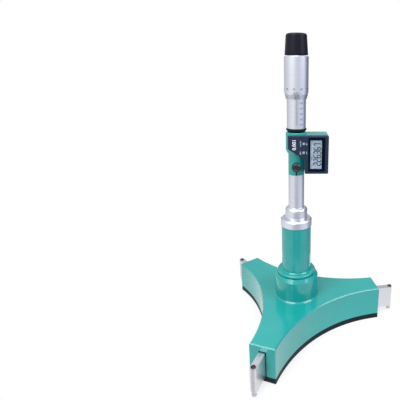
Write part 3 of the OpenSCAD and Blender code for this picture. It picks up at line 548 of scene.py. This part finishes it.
def roomBands(tree, share, levels):
    bands = tree.nodes.new("ShaderNodeValToRGB")
    bands.color_ramp.interpolation = 'EASE'
    stops = bands.color_ramp.elements
    for index, (angle, level, cool) in enumerate(levels):
        stop = stops[0] if index == 0 else stops.new(0.5 + angle / 360)
        stop.color = (level * (1 - coolLoss * cool), level, level * (1 + coolGain * cool), 1)
    stops[-1].color = stops[0].color               # the bands close behind the object
    tree.links.new(share, bands.inputs["Fac"])
    return bands.outputs["Color"]


def heightShare(tree, height, limits):
    share = tree.nodes.new("ShaderNodeMapRange")
    share.interpolation_type = 'SMOOTHSTEP'
    share.inputs["From Min"].default_value, share.inputs["From Max"].default_value = limits
    tree.links.new(height, share.inputs["Value"])
    return share.outputs["Result"]


# plain white to the eye and through glass; metal sees light panels with darker gaps round the object
def makeRoom(s):
    world = bpy.data.worlds.new("studioRoom")
    world.use_nodes = True
    bpy.context.scene.world = world
    tree = world.node_tree
    lightRoom = tree.nodes["Background"]
    way = tree.nodes.new("ShaderNodeTexCoord")
    mirror = tree.nodes.new("ShaderNodeMapping")
    mirror.inputs["Scale"].default_value = (1, -1, 1)
    axes = tree.nodes.new("ShaderNodeSeparateXYZ")
    share = tree.nodes.new("ShaderNodeMapRange")
    share.inputs["From Min"].default_value = -pi
    share.inputs["From Max"].default_value = pi
    share.inputs["To Min"].default_value = -s["roomFront"] / 360
    share.inputs["To Max"].default_value = 1 - s["roomFront"] / 360
    share.clamp = False
    walls = roomBands(tree, share.outputs["Result"], s["room"])
    ground = roomBands(tree, share.outputs["Result"], s["ground"])
    below = tree.nodes.new("ShaderNodeMixRGB")
    room = tree.nodes.new("ShaderNodeMixRGB")
    room.inputs["Color2"].default_value = (s["overheadLight"],) * 3 + (1,)
    tree.links.new(way.outputs["Generated"], mirror.inputs["Vector"])
    tree.links.new(mirror.outputs["Vector"], axes.inputs["Vector"])
    around = mathNode(tree, 'ARCTAN2', axes.outputs["X"], axes.outputs["Y"])
    tree.links.new(around, share.inputs["Value"])
    tree.links.new(heightShare(tree, axes.outputs["Z"], s["underfoot"]), below.inputs["Fac"])
    tree.links.new(walls, below.inputs["Color1"])
    tree.links.new(ground, below.inputs["Color2"])
    tree.links.new(heightShare(tree, axes.outputs["Z"], s["overhead"]), room.inputs["Fac"])
    tree.links.new(below.outputs["Color"], room.inputs["Color1"])
    tree.links.new(room.outputs["Color"], lightRoom.inputs["Color"])
    white = tree.nodes.new("ShaderNodeBackground")
    white.inputs["Color"].default_value = (1, 1, 1, 1)
    blend = tree.nodes.new("ShaderNodeMixShader")
    rays = tree.nodes.new("ShaderNodeLightPath")
    seen = mathNode(tree, 'MAXIMUM', rays.outputs["Is Camera Ray"], rays.outputs["Is Transmission Ray"])
    panels = mathNode(tree, 'MULTIPLY', rays.outputs["Is Glossy Ray"], room.outputs["Color"])
    tree.links.new(mathNode(tree, 'MAXIMUM', seen, panels), blend.inputs["Fac"])
    tree.links.new(lightRoom.outputs[0], blend.inputs[1])
    tree.links.new(white.outputs[0], blend.inputs[2])
    tree.links.new(blend.outputs[0], tree.nodes["World Output"].inputs["Surface"])


lamps = {"key": {"place": (-0.70, -0.60, 1.0), "turn": (46, 0, -49), "size": 0.80, "power": 10},
         "top": {"place": (-0.10, -0.10, 1.10), "turn": (0, 0, 0), "size": 0.60, "power": 2.6},
         "side": {"place": (0.75, -0.50, 0.80), "turn": (52, 0, 56), "size": 0.60, "power": 5}}


def makeLamps():
    for name, s in lamps.items():
        clearSelection()
        turn = [radians(angle) for angle in s["turn"]]
        bpy.ops.object.light_add(type='AREA', location=s["place"], rotation=turn)
        lamp = bpy.context.object
        lamp.name = name + "_lamp"
        lamp.data.size = s["size"]
        lamp.data.energy = s["power"]


camera = {"turn": -10.75, "away": 363 * mm, "height": 272.0 * mm, "pitch": 16.4, "sensor": 36,
          "lens": 33.525, "shift": (-0.2408, -0.0475), "nearest": 10 * mm}


def makeCamera(s):
    turn = radians(s["turn"])
    place = (s["away"] * sin(turn), -s["away"] * cos(turn), s["height"])
    clearSelection()
    bpy.ops.object.camera_add(location=place, rotation=(radians(90 - s["pitch"]), 0, turn))
    eye = bpy.context.object
    eye.data.sensor_width = s["sensor"]
    eye.data.lens = s["lens"]
    eye.data.shift_x, eye.data.shift_y = s["shift"]
    eye.data.clip_start = s["nearest"]
    bpy.context.scene.camera = eye


makeFloor(studio)
makeRoom(studio)
makeLamps()
makeCamera(camera)
bpy.context.scene.view_settings.view_transform = 'Standard'
print("studio done")
